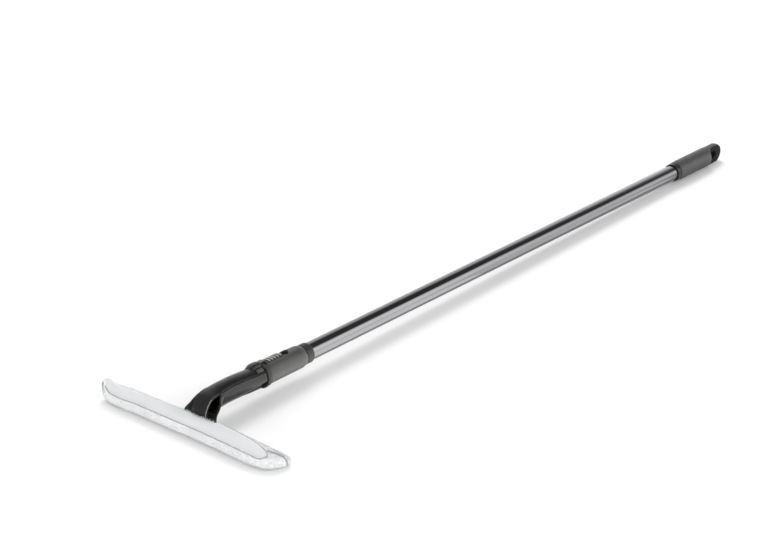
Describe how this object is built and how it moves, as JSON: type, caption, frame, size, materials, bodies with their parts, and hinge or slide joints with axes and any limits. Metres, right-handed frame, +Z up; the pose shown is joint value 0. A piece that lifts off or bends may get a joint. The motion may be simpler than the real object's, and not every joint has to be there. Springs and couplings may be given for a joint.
{
  "type": "telescopic window washer",
  "caption": "T-shaped washing head in a microfibre sleeve on a swan neck, plugged into a telescopic twist-lock pole with a hanging grip.",
  "frame": {"origin": "middle of the tool's footprint, on the floor that it lies on", "axes": "+Z up, +Y from the head to the grip along the pole, +X along the head's bar"},
  "size_m": [0.273, 1.0928, 0.0476],
  "materials": {
    "tube_lacquer": "gloss black lacquer on thin steel tube",
    "tube_bare": "satin drawn steel tube",
    "grip_plastic": "soft-touch dark grey moulding",
    "soft_grey": "fine matt dark grey moulding",
    "dark_plastic": "matt near-black moulding",
    "black_plastic": "satin black moulding",
    "nylon": "natural nylon",
    "spring_steel": "plated steel",
    "carrier_grey": "grey moulding",
    "hook_tape": "woven hook tape",
    "plush": "white microfibre pile, short and dense",
    "panel_cloth": "pale grey smooth microfibre with overlocked edge"
  },
  "bodies": {
    "outer_pole": {"outer_tube": "tube_lacquer", "mouth_collar": "dark_plastic", "mouth_bush": "nylon", "grip": "grip_plastic", "grip_ferrule": "black_plastic", "tube_end_plug": "nylon"},
    "lock": {"lock_ring": "nylon"},
    "inner_pole": {"inner_tube": "tube_bare", "cam_stud": "nylon", "cam_cap": "nylon", "adapter_sleeve": "soft_grey", "adapter_pin": "spring_steel", "coupling_ring": "soft_grey", "neck_spigot": "black_plastic", "neck_flange": "black_plastic", "latch_keeper": "black_plastic", "bayonet_lug_left": "carrier_grey", "bayonet_lug_right": "carrier_grey", "neck_upper_shell": "black_plastic", "neck_lower_shell": "black_plastic", "neck_screw_front": "spring_steel", "neck_screw_rear": "spring_steel", "bar_saddle": "black_plastic", "saddle_screw_left": "spring_steel", "saddle_screw_right": "spring_steel", "t_bar": "carrier_grey", "hook_tape_top": "hook_tape", "hook_tape_bottom": "hook_tape", "sleeve_bottom": "plush", "sleeve_front": "plush", "sleeve_top_panel": "panel_cloth", "sleeve_rear": "plush", "sleeve_end_left": "plush", "sleeve_end_right": "plush"},
    "release_slider": {"release_button": "soft_grey", "slider_carriage": "nylon", "slider_spring": "spring_steel"}
  },
  "joints": [
    {"name": "telescope_slide", "type": "slide", "parent": "outer_pole", "child": "lock", "axis": [0, -0.9999, 0.0155], "range_m": [0, 0.7]},
    {"name": "twist_lock", "type": "hinge", "parent": "lock", "child": "inner_pole", "pos_m": [0, -0.41844, 0.0283], "axis": [0, -0.9999, 0.0155], "range_deg": [0, 90]},
    {"name": "release_slide", "type": "slide", "parent": "inner_pole", "child": "release_slider", "axis": [0, 0.9999, -0.0155], "range_m": [0, 0.006], "stiffness_N_per_m": 600, "springref_m": -0.004, "deforming": ["slider_spring"]}
  ]
}
